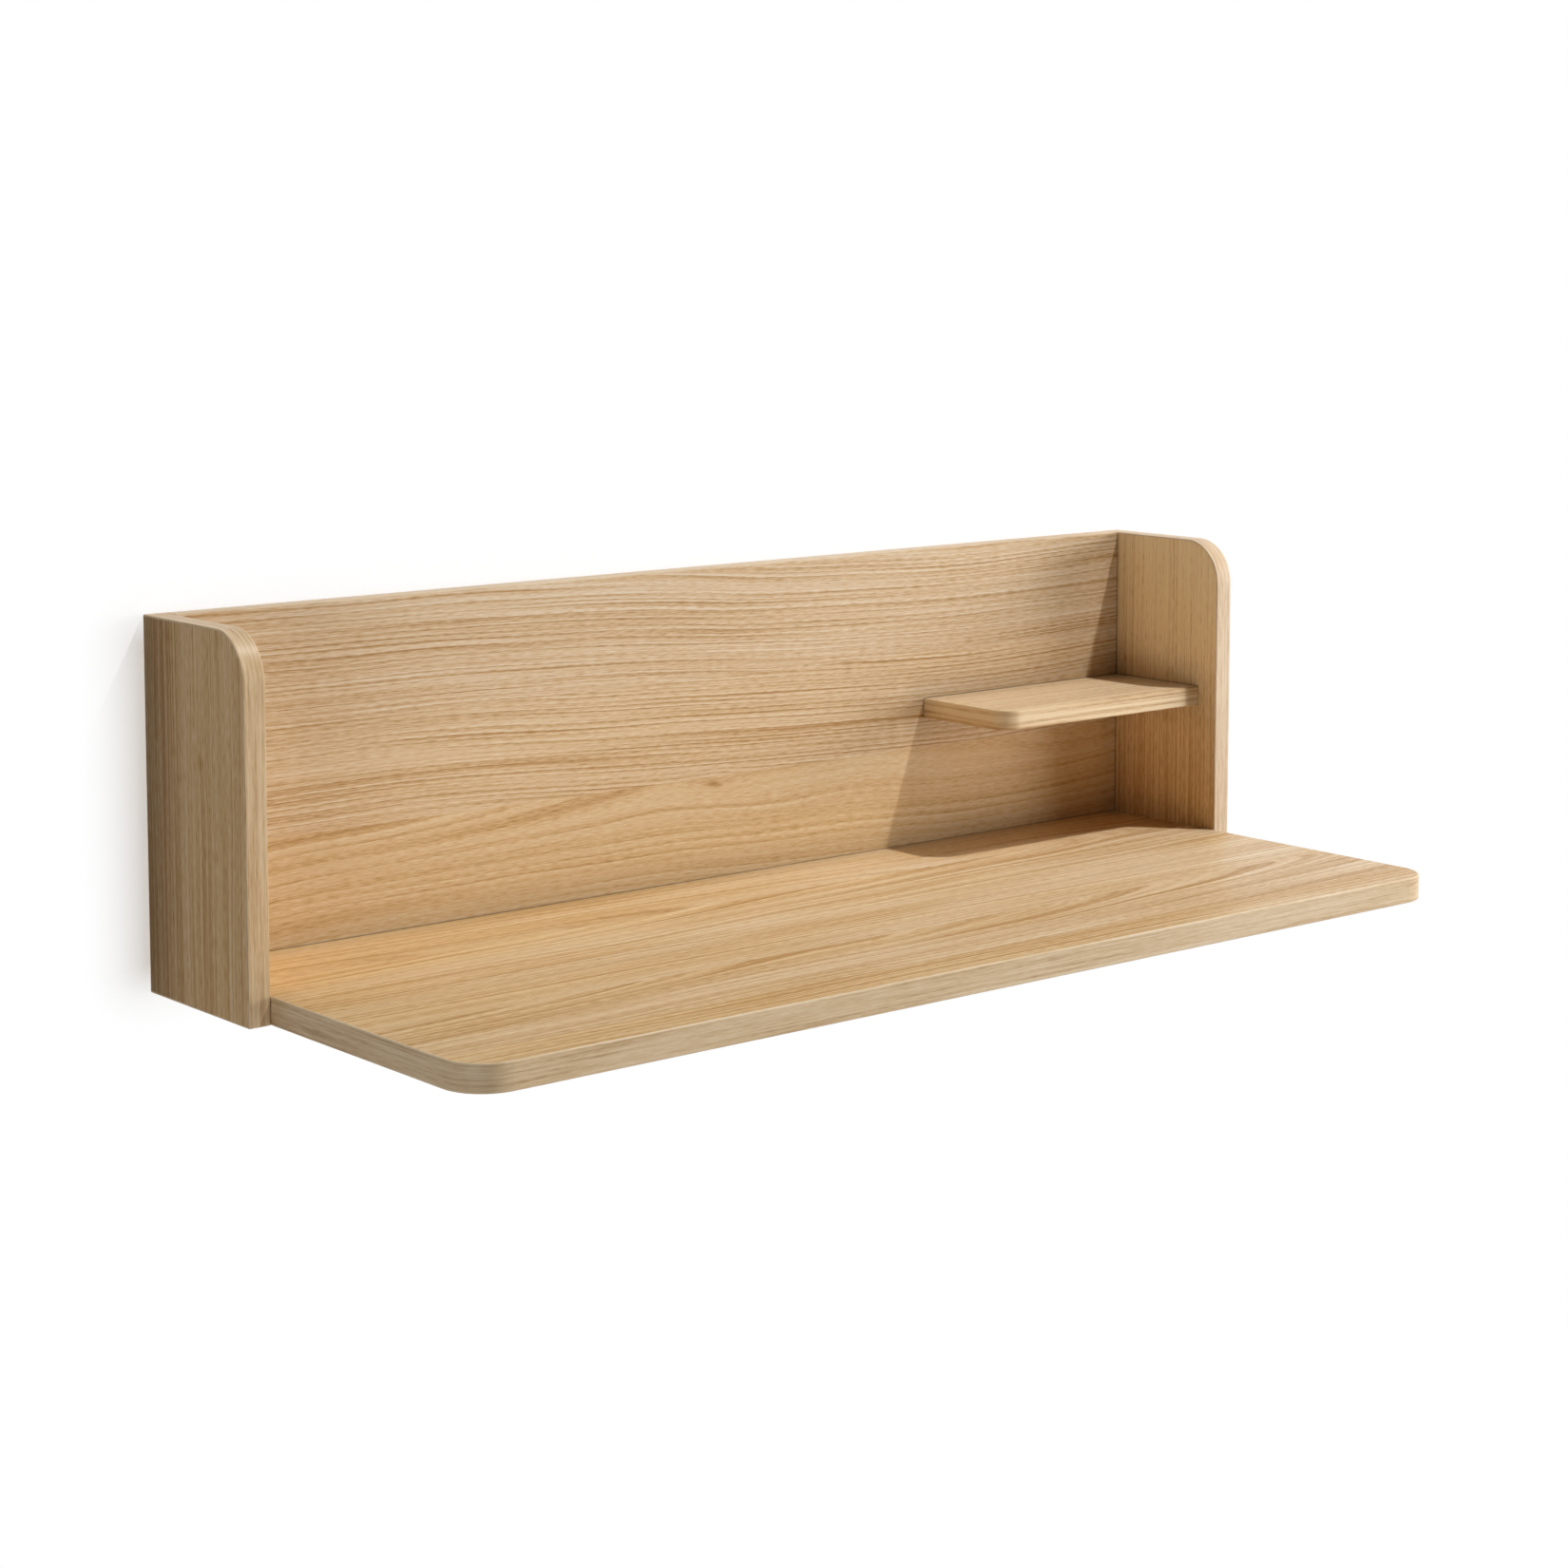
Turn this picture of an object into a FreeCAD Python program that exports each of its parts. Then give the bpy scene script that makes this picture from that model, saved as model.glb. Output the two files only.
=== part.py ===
# Floating wall desk of veneered, edge-banded boards, hung on a two-part aluminium wall cleat.
# Millimetres. X runs to the right along the wall, Y runs into the wall and Z runs up. The origin is the
# middle of the row of wall screw holes, on the wall's surface, so the desk stands at negative Y.
import FreeCAD, Part

import math
import os
from collections import namedtuple

# Overall form
WIDTH = 1080.0  # outside faces of the side panels
HEIGHT = 300.0  # side panels and back panel
SIDE_DEPTH = 152.0  # wall to the front edge of a side panel
DESK_DEPTH = 420.0  # wall to the front edge of the desktop
SIDE_CORNER_R = 40.0  # upper front corner of a side panel
DESK_CORNER_R = 36.0  # front corners of the desktop
SHELF_LENGTH = 257.0
SHELF_DEPTH = 110.0
SHELF_CORNER_R = 20.0  # free front corner of the shelf
SHELF_TOP_HEIGHT = 159.0  # top of the shelf above the desk's underside

# Boards
SIDE_THICK = 19.0
BACK_THICK = 19.0
DESK_THICK = 22.0
SHELF_THICK = 18.0
VENEER = 0.6  # each face of a board
BAND = 1.5  # edge band
EDGE_ROUND = 1.0  # rounding of the banded edges
JOINT_GAP = 0.3  # between two boards that meet

# Fits and drilling
FIT = 0.05  # radial clearance of a fitting in its hole
RUNOUT = 0.4  # depth of a blind hole past the end of its fitting
OVERCUT = 1.0  # how far a cutting shape starts outside the wood

# Cam fittings that draw the desktop and the back panel to the side panels
CAM_R = 7.45
CAM_SETBACK = 24.0  # cam centre from the side panel's inner face
CAM_END_WALL = 1.4  # closed end of the cam, past its cavity
CAM_SINK = 0.2  # cam face below the board's face
CAM_ECCENTRICITY = 0.6
CAM_CLEARANCE = 0.3  # bolt head and neck to the cam
CROSS_LENGTH = 8.0
CROSS_WIDTH = 1.4
CROSS_DEPTH = 2.5
MARK_LENGTH = 1.6  # arrow that points at the bolt
MARK_DEPTH = 0.4
BOLT_THREAD_R = 2.5
BOLT_THREAD_LENGTH = 10.5  # inside the side panel
BOLT_SHANK_R = 3.0
BOLT_NECK_R = 1.9
BOLT_HEAD_R = 3.3
BOLT_HEAD_FRONT = 1.4  # head from the cam's centre towards the side panel
BOLT_HEAD_BACK = 1.2
BOLT_TAPER = 0.6  # bevels at the bolt's tip and head
BOLT_HOLE_PLAY = 0.7  # bolt head to its hole in the board's edge
DESK_CAM_INSET = 30.0  # desktop cams from the two ends of its seat on a side panel
BACK_CAM_TOP_INSET = 45.0  # upper back panel cams from the top
BACK_CAM_LOW_INSET = 60.0  # lower back panel cams from the underside

# Dowels
DOWEL_R = 4.0
DOWEL_IN_SIDE = 12.0
DOWEL_IN_BOARD = 18.0
DOWEL_BEVEL = 0.8
BACK_DOWEL_PITCH = 50.0  # two dowels at each end of the back panel
SHELF_DOWEL_INSET = 25.0  # from the shelf's rear and front edges

# Assembly screws through the back panel
SCREW_LENGTH = 50.0
SCREW_HEAD_R = 5.0
SCREW_SHANK_R = 3.5
SCREW_ROOT_R = 2.5
SCREW_SINK = 0.3  # head below the rear face
SCREW_RIM = 0.5
SCREW_TIP = 3.0
SCREW_SOCKET_R = 2.3  # corner radius of the hexagon socket
SCREW_SOCKET_DEPTH = 2.5
DESK_SCREW_COUNT = 5
DESK_SCREW_INSET = 120.0  # outer desktop screws from the side panels
SHELF_SCREW_INSET = 45.0  # from the shelf's two ends

# Wall cleat and panel cleat
CLEAT_LENGTH = 500.0
CLEAT_WALL = 2.5  # thickness of the metal
CLEAT_GAP = 0.3  # play between the two cleats, and to the wall and the pocket
CLEAT_LIP = 10.0  # engaged height of the lips
CLEAT_LEAD = 0.8  # bevel at the tips of the lips
WALL_FLANGE = 25.0
PANEL_FLANGE = 30.0
WALL_HOLE_R = 2.75
WALL_HOLE_COUNT = 4
WALL_HOLE_INSET = 50.0  # outer wall holes from the cleat's ends
LIFT_PAST_LIP = 1.0  # lift that takes the panel cleat clear of the wall cleat
POCKET_MARGIN = 2.0  # pocket above and below the cleats
POCKET_CORNER_R = 6.0  # also the room past the cleats' ends, so that the round corners stay clear of them
POCKET_TOP_INSET = 35.0  # pocket from the top of the back panel
CLEAT_SCREW_COUNT = 4
CLEAT_SCREW_INSET = 40.0
CLEAT_SCREW_LENGTH = 12.0
CLEAT_SCREW_HEAD_R = 3.6
CLEAT_SCREW_SHANK_R = 2.0
CLEAT_SCREW_ROOT_R = 1.5
CLEAT_SCREW_SINK = 0.1
CLEAT_SCREW_RIM = 0.3
CLEAT_SCREW_TIP = 2.0
CLEAT_SCREW_SOCKET_R = 1.5
CLEAT_SCREW_SOCKET_DEPTH = 1.2

# Levels that follow from the sizes above
WALL_WEB_Z = WALL_FLANGE / 2  # underside of the wall cleat's web, above the wall holes
SEAT_Z = WALL_WEB_Z + CLEAT_WALL  # where the panel cleat rests on the wall cleat
PANEL_WEB_Z = SEAT_Z + CLEAT_LIP + CLEAT_GAP
PANEL_TOP_Z = PANEL_WEB_Z + PANEL_FLANGE
LIFT = CLEAT_LIP + LIFT_PAST_LIP
POCKET_DEPTH = 2 * CLEAT_WALL + 3 * CLEAT_GAP
POCKET_TOP_Z = PANEL_TOP_Z + POCKET_MARGIN
POCKET_LOW_Z = -WALL_FLANGE / 2 - LIFT - POCKET_MARGIN
TOP_Z = POCKET_TOP_Z + POCKET_TOP_INSET
UNDERSIDE_Z = TOP_Z - HEIGHT
INNER_HALF = WIDTH / 2 - SIDE_THICK  # middle of the desk to a side panel's inner face
BOARD_REAR_Y = -BACK_THICK - JOINT_GAP  # rear edge of the desktop and of the shelf
DESK_MID_Z = UNDERSIDE_Z + DESK_THICK / 2
SHELF_MID_Z = UNDERSIDE_Z + SHELF_TOP_HEIGHT - SHELF_THICK / 2

V = FreeCAD.Vector
RIGHT = V(1, 0, 0)
LEFT = V(-1, 0, 0)
FRONT = V(0, -1, 0)
REAR = V(0, 1, 0)
UP = V(0, 0, 1)
DOWN = V(0, 0, -1)
TOUCH = 1e-4
SIDES = ("start", "end", "low", "high")

Screw = namedtuple("Screw", "length head_r shank_r root_r sink rim tip socket_r socket_depth")
ASSEMBLY_SCREW = Screw(
    SCREW_LENGTH, SCREW_HEAD_R, SCREW_SHANK_R, SCREW_ROOT_R, SCREW_SINK,
    SCREW_RIM, SCREW_TIP, SCREW_SOCKET_R, SCREW_SOCKET_DEPTH,
)
CLEAT_SCREW = Screw(
    CLEAT_SCREW_LENGTH, CLEAT_SCREW_HEAD_R, CLEAT_SCREW_SHANK_R, CLEAT_SCREW_ROOT_R, CLEAT_SCREW_SINK,
    CLEAT_SCREW_RIM, CLEAT_SCREW_TIP, CLEAT_SCREW_SOCKET_R, CLEAT_SCREW_SOCKET_DEPTH,
)


def rounded_loop(corners, radii):
    """A closed wire through square corners, with an arc at each corner that has a radius."""
    edges = []
    starts = []
    ends = []
    for i, corner in enumerate(corners):
        arriving = (corner - corners[i - 1]).normalize()
        leaving = (corners[(i + 1) % len(corners)] - corner).normalize()
        start = corner - arriving * radii[i]
        end = corner + leaving * radii[i]
        if radii[i] > 0:
            centre = start + leaving * radii[i]
            middle = centre + (arriving - leaving).normalize() * radii[i]
            edges.append(Part.Arc(start, middle, end).toShape())
        starts.append(start)
        ends.append(end)
    for i in range(len(corners)):
        edges.append(Part.LineSegment(ends[i - 1], starts[i]).toShape())
    return Part.Wire(Part.__sortEdges__(edges))


class Board:
    """A veneered board, laid out as a rectangle of length by width in its own plane.

    Distances a and b run from the corner along the length and the width, and c through the thickness.
    The sides are start (a = 0), end, low (b = 0) and high. Banded sides carry an edge band and have
    rounded edges. The other sides are raw and lie against a neighbour.
    """

    def __init__(self, corner, directions, size, banded, radii):
        self.corner = corner
        self.along, self.across, self.through = directions
        self.length, self.width, self.thickness = size
        self.banded = set(banded)
        self.radii = radii

    def point(self, a, b, c):
        return self.corner + self.along * a + self.across * b + self.through * c

    def prism(self, band_inset, raw_inset, c_from, c_to):
        """The outline drawn in from the banded and the raw sides, as a solid between two depths."""
        inset = {side: band_inset if side in self.banded else raw_inset for side in SIDES}
        a_at = {"start": inset["start"], "end": self.length - inset["end"]}
        b_at = {"low": inset["low"], "high": self.width - inset["high"]}
        order = [("start", "low"), ("end", "low"), ("end", "high"), ("start", "high")]
        corners = [self.point(a_at[a], b_at[b], c_from) for a, b in order]
        radii = [max(self.radii.get(key, 0.0) - band_inset, 0.0) for key in order]
        face = Part.Face(rounded_loop(corners, radii))
        return face.extrude(self.through * (c_to - c_from))

    def block(self, a_from, a_to, b_from, b_to):
        """A plain block right through the board, for cutting its edge band into strips."""
        corners = [(a_from, b_from), (a_to, b_from), (a_to, b_to), (a_from, b_to)]
        loop = rounded_loop([self.point(a, b, -OVERCUT) for a, b in corners], [0.0] * len(corners))
        return Part.Face(loop).extrude(self.through * (self.thickness + 2 * OVERCUT))

    def is_banded_edge(self, edge):
        """Whether an edge of the plain board belongs to banded sides only, so that it is rounded."""
        middle = edge.valueAt((edge.FirstParameter + edge.LastParameter) / 2) - self.corner
        a = middle.dot(self.along)
        b = middle.dot(self.across)
        c = middle.dot(self.through)
        gaps = zip(SIDES, (a, self.length - a, b, self.width - b))
        touching = {side for side, gap in gaps if abs(gap) < TOUCH}
        on_a_face = abs(c) < TOUCH or abs(c - self.thickness) < TOUCH
        at_a_corner = len(touching) == 2
        return (on_a_face or at_a_corner) and touching <= self.banded

    def core(self):
        return self.prism(BAND, 0.0, VENEER, self.thickness - VENEER)

    def low_veneer(self):
        return self.prism(BAND, 0.0, 0.0, VENEER)

    def high_veneer(self):
        return self.prism(BAND, 0.0, self.thickness - VENEER, self.thickness)

    def band(self):
        """Everything outside the core and the veneers, with the outer edges rounded."""
        plain = self.prism(0.0, 0.0, 0.0, self.thickness)
        rounded = plain.makeFillet(EDGE_ROUND, [e for e in plain.Edges if self.is_banded_edge(e)])
        return rounded.cut(self.prism(BAND, -OVERCUT, -OVERCUT, self.thickness + OVERCUT))


def rod(radius, start, direction, length):
    return Part.makeCylinder(radius, length, start, direction)


def turned(steps, start, direction):
    """A turned solid. Each step is a distance along the axis from start, and the radius there."""
    points = [V(0, 0, steps[0][0])]
    points += [V(radius, 0, distance) for distance, radius in steps]
    points += [V(0, 0, steps[-1][0]), V(0, 0, steps[0][0])]
    solid = Part.Face(Part.makePolygon(points)).revolve(V(0, 0, 0), UP, 360)
    solid.Placement = FreeCAD.Placement(start, FreeCAD.Rotation(UP, direction))
    return solid


def evenly(count, first, last):
    return [first + (last - first) * i / (count - 1) for i in range(count)]


# Boards


def side_board(outward):
    """A side panel: a runs from the wall to the front, b runs up, c runs in from the outer face."""
    return Board(
        V(outward.x * WIDTH / 2, 0, UNDERSIDE_Z),
        (FRONT, UP, -outward),
        (SIDE_DEPTH, HEIGHT, SIDE_THICK),
        SIDES,
        {("end", "high"): SIDE_CORNER_R},
    )


def back_board():
    """The back panel between the side panels: a runs to the right, b runs up, c runs to the front."""
    half = INNER_HALF - JOINT_GAP
    return Board(
        V(-half, 0, UNDERSIDE_Z),
        (RIGHT, UP, FRONT),
        (2 * half, HEIGHT, BACK_THICK),
        ("low", "high"),
        {},
    )


def desk_board():
    """The desktop in front of the back panel: a runs to the right, b runs to the front, c runs up."""
    half = INNER_HALF - JOINT_GAP
    return Board(
        V(-half, BOARD_REAR_Y, UNDERSIDE_Z),
        (RIGHT, FRONT, UP),
        (2 * half, DESK_DEPTH + BOARD_REAR_Y, DESK_THICK),
        ("start", "end", "high"),
        {("start", "high"): DESK_CORNER_R, ("end", "high"): DESK_CORNER_R},
    )


def shelf_board():
    """The shelf in the right corner: a runs to the right, b runs to the front, c runs up."""
    return Board(
        V(INNER_HALF - JOINT_GAP - SHELF_LENGTH, BOARD_REAR_Y, SHELF_MID_Z - SHELF_THICK / 2),
        (RIGHT, FRONT, UP),
        (SHELF_LENGTH, SHELF_DEPTH, SHELF_THICK),
        ("start", "high"),
        {("start", "high"): SHELF_CORNER_R},
    )


def side_layers(board):
    """Two veneers on a core, a strip bent round the front and the top, and plain strips below and behind."""
    band = board.band()
    low_strip = board.block(-OVERCUT, SIDE_DEPTH - BAND, -OVERCUT, BAND)
    rear_strip = board.block(-OVERCUT, BAND, BAND, HEIGHT - BAND)
    return {
        "core": board.core(),
        "outer_veneer": board.low_veneer(),
        "inner_veneer": board.high_veneer(),
        "front_band": band.cut([low_strip, rear_strip]),
        "bottom_band": band.common(low_strip),
        "rear_band": band.common(rear_strip),
    }


def back_layers(board):
    band = board.band()
    low_strip = board.block(-OVERCUT, board.length + OVERCUT, -OVERCUT, HEIGHT / 2)
    return {
        "core": board.core(),
        "rear_veneer": board.low_veneer(),
        "front_veneer": board.high_veneer(),
        "bottom_band": band.common(low_strip),
        "top_band": band.cut(low_strip),
    }


def level_layers(board):
    """The desktop and the shelf: one band is bent round their free edges."""
    return {
        "core": board.core(),
        "bottom_veneer": board.low_veneer(),
        "top_veneer": board.high_veneer(),
        "edge_band": board.band(),
    }


# Cam fittings


def cam_bolt(seat, inward):
    """The bolt of a cam fitting, screwed into a side panel at seat, with its head in the cam."""
    shank_end = CAM_SETBACK - CAM_R - CAM_CLEARANCE
    head_start = CAM_SETBACK - BOLT_HEAD_FRONT
    head_end = CAM_SETBACK + BOLT_HEAD_BACK
    steps = [
        (-BOLT_THREAD_LENGTH, BOLT_THREAD_R - BOLT_TAPER),
        (-BOLT_THREAD_LENGTH + BOLT_TAPER, BOLT_THREAD_R),
        (0.0, BOLT_THREAD_R),
        (0.0, BOLT_SHANK_R),
        (shank_end, BOLT_SHANK_R),
        (shank_end, BOLT_NECK_R),
        (head_start, BOLT_NECK_R),
        (head_start, BOLT_HEAD_R - BOLT_TAPER),
        (head_start + BOLT_TAPER, BOLT_HEAD_R),
        (head_end - BOLT_TAPER, BOLT_HEAD_R),
        (head_end, BOLT_HEAD_R - BOLT_TAPER),
    ]
    return turned(steps, seat, inward)


def cam_end_depth():
    """From the bolt's axis to the closed end of a cam."""
    return BOLT_HEAD_R + CAM_CLEARANCE + CAM_END_WALL


def cam_disc(centre, to_bolt, mouth, axis_depth):
    """A locked cam. Its slot lets the bolt's neck through over half a turn, from locked to open.

    It is drawn about the bolt's axis level, with x towards the bolt and z out of the mouth, where
    axis_depth is the distance from that level to the board's face.
    """
    face_z = axis_depth - CAM_SINK
    cavity_half = BOLT_HEAD_R + CAM_CLEARANCE
    cavity_r = math.hypot(BOLT_HEAD_FRONT, BOLT_HEAD_R) + CAM_CLEARANCE + CAM_ECCENTRICITY
    neck_half = BOLT_NECK_R + CAM_CLEARANCE
    reach = CAM_R + OVERCUT
    body = rod(CAM_R, V(0, 0, -cam_end_depth()), UP, cam_end_depth() + face_z)
    cavity = rod(cavity_r, V(-CAM_ECCENTRICITY, 0, -cavity_half), UP, 2 * cavity_half)
    slot = Part.makeBox(2 * reach, reach + neck_half, 2 * neck_half, V(-reach, -reach, -neck_half))
    entry = rod(cavity_half, V(0, 0, 0), LEFT, reach)
    cross_base = face_z - CROSS_DEPTH
    cross_x = Part.makeBox(
        CROSS_LENGTH, CROSS_WIDTH, CROSS_DEPTH + OVERCUT, V(-CROSS_LENGTH / 2, -CROSS_WIDTH / 2, cross_base)
    )
    cross_y = Part.makeBox(
        CROSS_WIDTH, CROSS_LENGTH, CROSS_DEPTH + OVERCUT, V(-CROSS_WIDTH / 2, -CROSS_LENGTH / 2, cross_base)
    )
    tip = CAM_R - CAM_CLEARANCE
    mark_points = [(tip, 0.0), (tip - MARK_LENGTH, MARK_LENGTH / 2), (tip - MARK_LENGTH, -MARK_LENGTH / 2)]
    mark_loop = Part.makePolygon([V(x, y, face_z - MARK_DEPTH) for x, y in mark_points + mark_points[:1]])
    mark = Part.Face(mark_loop).extrude(UP * (MARK_DEPTH + OVERCUT))
    disc = body.cut([cavity, slot, entry, cross_x, cross_y, mark])
    turn = FreeCAD.Rotation(to_bolt, mouth.cross(to_bolt), mouth, "ZXY")
    disc.Placement = FreeCAD.Placement(centre, turn)
    return disc


def cam_board_cuts(seat, inward, mouth, axis_depth):
    """The bolt's hole in the board's edge, and the cam's round pocket in the board's face."""
    centre = seat + inward * CAM_SETBACK
    depth = cam_end_depth() + RUNOUT
    return [
        rod(BOLT_HEAD_R + BOLT_HOLE_PLAY, seat, inward, CAM_SETBACK),
        rod(CAM_R + FIT, centre - mouth * depth, mouth, depth + axis_depth + OVERCUT),
    ]


def cam_side_cut(seat, inward):
    length = BOLT_THREAD_LENGTH + RUNOUT + OVERCUT
    return rod(BOLT_THREAD_R + FIT, seat + inward * OVERCUT, -inward, length)


# Dowels and screws


def dowel(seat, inward):
    """A dowel across the joint between a side panel's inner face, at seat, and a board's end."""
    steps = [
        (-DOWEL_IN_SIDE, DOWEL_R - DOWEL_BEVEL),
        (-DOWEL_IN_SIDE + DOWEL_BEVEL, DOWEL_R),
        (DOWEL_IN_BOARD - DOWEL_BEVEL, DOWEL_R),
        (DOWEL_IN_BOARD, DOWEL_R - DOWEL_BEVEL),
    ]
    return turned(steps, seat, inward)


def dowel_cut(seat, inward):
    length = DOWEL_IN_SIDE + DOWEL_IN_BOARD + 2 * RUNOUT
    return rod(DOWEL_R + FIT, seat - inward * (DOWEL_IN_SIDE + RUNOUT), inward, length)


def screw_steps(kind, shank_end, ease):
    """The outline of a countersunk screw, grown by ease. Distances run from the face it is driven into."""
    cone_start = kind.sink + kind.rim
    cone_end = cone_start + kind.head_r - kind.shank_r
    tip_start = kind.length - kind.tip
    return [
        (cone_start, kind.head_r + ease),
        (cone_end, kind.shank_r + ease),
        (shank_end, kind.shank_r + ease),
        (shank_end, kind.root_r + ease),
        (tip_start, kind.root_r + ease),
    ]


def screw(kind, start, direction, shank_end):
    """A countersunk screw with a hexagon socket. Its thread is drawn at its root."""
    steps = [(kind.sink, kind.head_r)] + screw_steps(kind, shank_end, 0.0)
    steps.append((kind.length, kind.root_r / 2))
    body = turned(steps, start, direction)
    corners = [V(kind.socket_r, 0, 0)]
    for i in range(1, 6):
        corners.append(V(kind.socket_r * math.cos(i * math.pi / 3), kind.socket_r * math.sin(i * math.pi / 3), 0))
    socket = Part.Face(Part.makePolygon(corners + corners[:1])).extrude(UP * (kind.sink + kind.socket_depth))
    socket.Placement = FreeCAD.Placement(start, FreeCAD.Rotation(UP, direction))
    return body.cut(socket)


def screw_cut(kind, start, direction, shank_end):
    steps = [(-OVERCUT, kind.head_r + FIT)] + screw_steps(kind, shank_end + RUNOUT, FIT)
    steps[-1] = (kind.length + RUNOUT, kind.root_r + FIT)
    return turned(steps, start, direction)


# Cleats


def bar(section):
    """A straight bar along X with a section given as (y, z) points."""
    points = [V(-CLEAT_LENGTH / 2, y, z) for y, z in section]
    return Part.Face(Part.makePolygon(points + points[:1])).extrude(RIGHT * CLEAT_LENGTH)


def wall_cleat():
    """A flange on the wall, and a lip that stands off the wall and points up."""
    lip_rear = -CLEAT_WALL - 2 * CLEAT_GAP
    lip_front = lip_rear - CLEAT_WALL
    lip_top = SEAT_Z + CLEAT_LIP
    section = [
        (0.0, -WALL_FLANGE / 2),
        (-CLEAT_WALL, -WALL_FLANGE / 2),
        (-CLEAT_WALL, WALL_WEB_Z),
        (lip_front, WALL_WEB_Z),
        (lip_front, lip_top - CLEAT_LEAD),
        (lip_front + CLEAT_LEAD, lip_top),
        (lip_rear - CLEAT_LEAD, lip_top),
        (lip_rear, lip_top - CLEAT_LEAD),
        (lip_rear, SEAT_Z),
        (0.0, SEAT_Z),
    ]
    end = CLEAT_LENGTH / 2 - WALL_HOLE_INSET
    length = CLEAT_WALL + 2 * OVERCUT
    holes = [rod(WALL_HOLE_R, V(x, OVERCUT, 0), FRONT, length) for x in evenly(WALL_HOLE_COUNT, -end, end)]
    return bar(section).cut(holes)


def panel_cleat():
    """A flange in the back panel's pocket, and a lip that hangs down behind the wall cleat's lip."""
    lip_rear = -CLEAT_GAP
    lip_front = lip_rear - CLEAT_WALL
    flange_rear = -POCKET_DEPTH + CLEAT_WALL
    section = [
        (-POCKET_DEPTH, PANEL_WEB_Z),
        (-POCKET_DEPTH, PANEL_TOP_Z),
        (flange_rear, PANEL_TOP_Z),
        (flange_rear, PANEL_WEB_Z + CLEAT_WALL),
        (lip_rear, PANEL_WEB_Z + CLEAT_WALL),
        (lip_rear, SEAT_Z + CLEAT_LEAD),
        (lip_rear - CLEAT_LEAD, SEAT_Z),
        (lip_front + CLEAT_LEAD, SEAT_Z),
        (lip_front, SEAT_Z + CLEAT_LEAD),
        (lip_front, PANEL_WEB_Z),
    ]
    return bar(section)


def pocket():
    """The shallow pocket in the back panel's rear face that holds both cleats and lets the desk lift."""
    half = CLEAT_LENGTH / 2 + POCKET_CORNER_R
    outline = [(-half, POCKET_LOW_Z), (half, POCKET_LOW_Z), (half, POCKET_TOP_Z), (-half, POCKET_TOP_Z)]
    corners = [V(x, OVERCUT, z) for x, z in outline]
    loop = rounded_loop(corners, [POCKET_CORNER_R] * len(corners))
    return Part.Face(loop).extrude(FRONT * (POCKET_DEPTH + OVERCUT))


# Assembly

nodes = {}
cuts = {"left_side": [], "right_side": [], "back_panel": [], "desktop": [], "shelf": []}
HANDS = {"left": (LEFT, "left_side"), "right": (RIGHT, "right_side")}


def add_cam(name, bolts, hand, board, y, z, mouth, axis_depth):
    """One cam fitting between a side panel and the board named, with its holes."""
    outward, side = HANDS[hand]
    seat = V(outward.x * INNER_HALF, y, z)
    nodes[name] = [cam_disc(seat - outward * CAM_SETBACK, outward, mouth, axis_depth)]
    nodes.setdefault(bolts, []).append(cam_bolt(seat, -outward))
    cuts[board] += cam_board_cuts(seat, -outward, mouth, axis_depth)
    cuts[side].append(cam_side_cut(seat, -outward))


def add_dowel(name, hand, board, y, z):
    outward, side = HANDS[hand]
    seat = V(outward.x * INNER_HALF, y, z)
    nodes.setdefault(name, []).append(dowel(seat, -outward))
    cuts[board].append(dowel_cut(seat, -outward))
    cuts[side].append(dowel_cut(seat, -outward))


def add_back_screw(name, board, x, z):
    """An assembly screw driven from the rear, through the back panel, into the board named."""
    start = V(x, 0, z)
    nodes.setdefault(name, []).append(screw(ASSEMBLY_SCREW, start, FRONT, -BOARD_REAR_Y))
    cut = screw_cut(ASSEMBLY_SCREW, start, FRONT, -BOARD_REAR_Y)
    cuts["back_panel"].append(cut)
    cuts[board].append(cut)


def add_desktop_fittings(hand):
    """Two cams and a dowel along the desktop's seat on one side panel."""
    rear_y = BOARD_REAR_Y - DESK_CAM_INSET
    front_y = -SIDE_DEPTH + DESK_CAM_INSET
    for place, y in (("rear", rear_y), ("front", front_y)):
        name = f"desktop_cam_{hand}_{place}"
        add_cam(name, "desktop_cam_bolts", hand, "desktop", y, DESK_MID_Z, DOWN, DESK_THICK / 2)
    add_dowel("desktop_dowels", hand, "desktop", (rear_y + front_y) / 2, DESK_MID_Z)


def add_back_fittings(hand):
    """Two cams and two dowels up one end of the back panel."""
    mid_y = -BACK_THICK / 2
    low_z = UNDERSIDE_Z + BACK_CAM_LOW_INSET
    high_z = TOP_Z - BACK_CAM_TOP_INSET
    for place, z in (("lower", low_z), ("upper", high_z)):
        add_cam(f"back_cam_{hand}_{place}", "back_cam_bolts", hand, "back_panel", mid_y, z, REAR, BACK_THICK / 2)
    mid_z = (low_z + high_z) / 2
    for z in evenly(2, mid_z - BACK_DOWEL_PITCH / 2, mid_z + BACK_DOWEL_PITCH / 2):
        add_dowel("back_dowels", hand, "back_panel", mid_y, z)


def add_shelf_fittings():
    """Two dowels into the right side panel, and two screws from behind."""
    for y in (BOARD_REAR_Y - SHELF_DOWEL_INSET, BOARD_REAR_Y - SHELF_DEPTH + SHELF_DOWEL_INSET):
        add_dowel("shelf_dowels", "right", "shelf", y, SHELF_MID_Z)
    right_x = INNER_HALF - JOINT_GAP - SHELF_SCREW_INSET
    left_x = right_x + 2 * SHELF_SCREW_INSET - SHELF_LENGTH
    for x in (left_x, right_x):
        add_back_screw("shelf_screws", "shelf", x, SHELF_MID_Z)


def add_desktop_screws():
    end = INNER_HALF - DESK_SCREW_INSET
    for x in evenly(DESK_SCREW_COUNT, -end, end):
        add_back_screw("desktop_screws", "desktop", x, DESK_MID_Z)


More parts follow.
